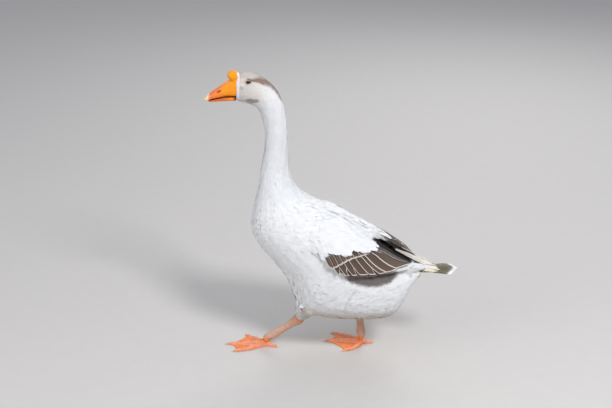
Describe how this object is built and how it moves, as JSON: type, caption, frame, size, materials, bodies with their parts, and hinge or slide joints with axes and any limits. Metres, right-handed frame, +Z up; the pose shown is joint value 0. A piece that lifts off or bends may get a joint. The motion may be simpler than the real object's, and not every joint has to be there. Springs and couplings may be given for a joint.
{
  "type": "domestic goose, chinese breed, still model",
  "caption": "Life-size still model of a pied Chinese goose walking: upright neck, basal knob on the bill, folded brown-edged wings, narrow tail and webbed feet flat on the floor.",
  "frame": {"origin": "on the floor, at the middle of the bird's length and width", "axes": "+Z up; the bird faces -X and its left side is towards -Y"},
  "size_m": [0.6354, 0.2214, 0.7342],
  "materials": {
    "plumage_white": "soft matte white feathers with fine pale grey shading",
    "plumage_fawn": "short soft feathers, pale fawn and grey with a brown nape stripe",
    "plumage_brown": "brown vanes with white edges, slight sheen",
    "bill_horn": "smooth orange horn, satin",
    "nail_horn": "pale horn, satin",
    "eye": "wet gloss, dark brown iris",
    "leg_skin": "scaly pinkish orange skin with grey scale edges",
    "web_skin": "thin wrinkled orange web, satin",
    "claw_horn": "pale greyish horn"
  },
  "bodies": {
    "root": {"head": "plumage_fawn", "eye_left": "eye", "eye_right": "eye", "neck_upper": "plumage_white", "neck_middle": "plumage_white", "neck_lower": "plumage_white", "bill_upper": "bill_horn", "bill_lower": "bill_horn", "bill_nail": "nail_horn", "knob": "bill_horn", "trunk": "plumage_white", "rump": "plumage_white", "tail": "plumage_brown", "wing_left": "plumage_white", "flight_feathers_left": "plumage_brown", "wing_right": "plumage_white", "flight_feathers_right": "plumage_brown", "thigh_left": "plumage_white", "tarsus_left": "leg_skin", "foot_left": "web_skin", "thigh_right": "plumage_white", "tarsus_right": "leg_skin", "foot_right": "web_skin", "claw_left_middle": "claw_horn", "claw_left_outer": "claw_horn", "claw_left_inner": "claw_horn", "claw_left_hind": "claw_horn", "claw_right_middle": "claw_horn", "claw_right_outer": "claw_horn", "claw_right_inner": "claw_horn", "claw_right_hind": "claw_horn"}
  },
  "joints": []
}
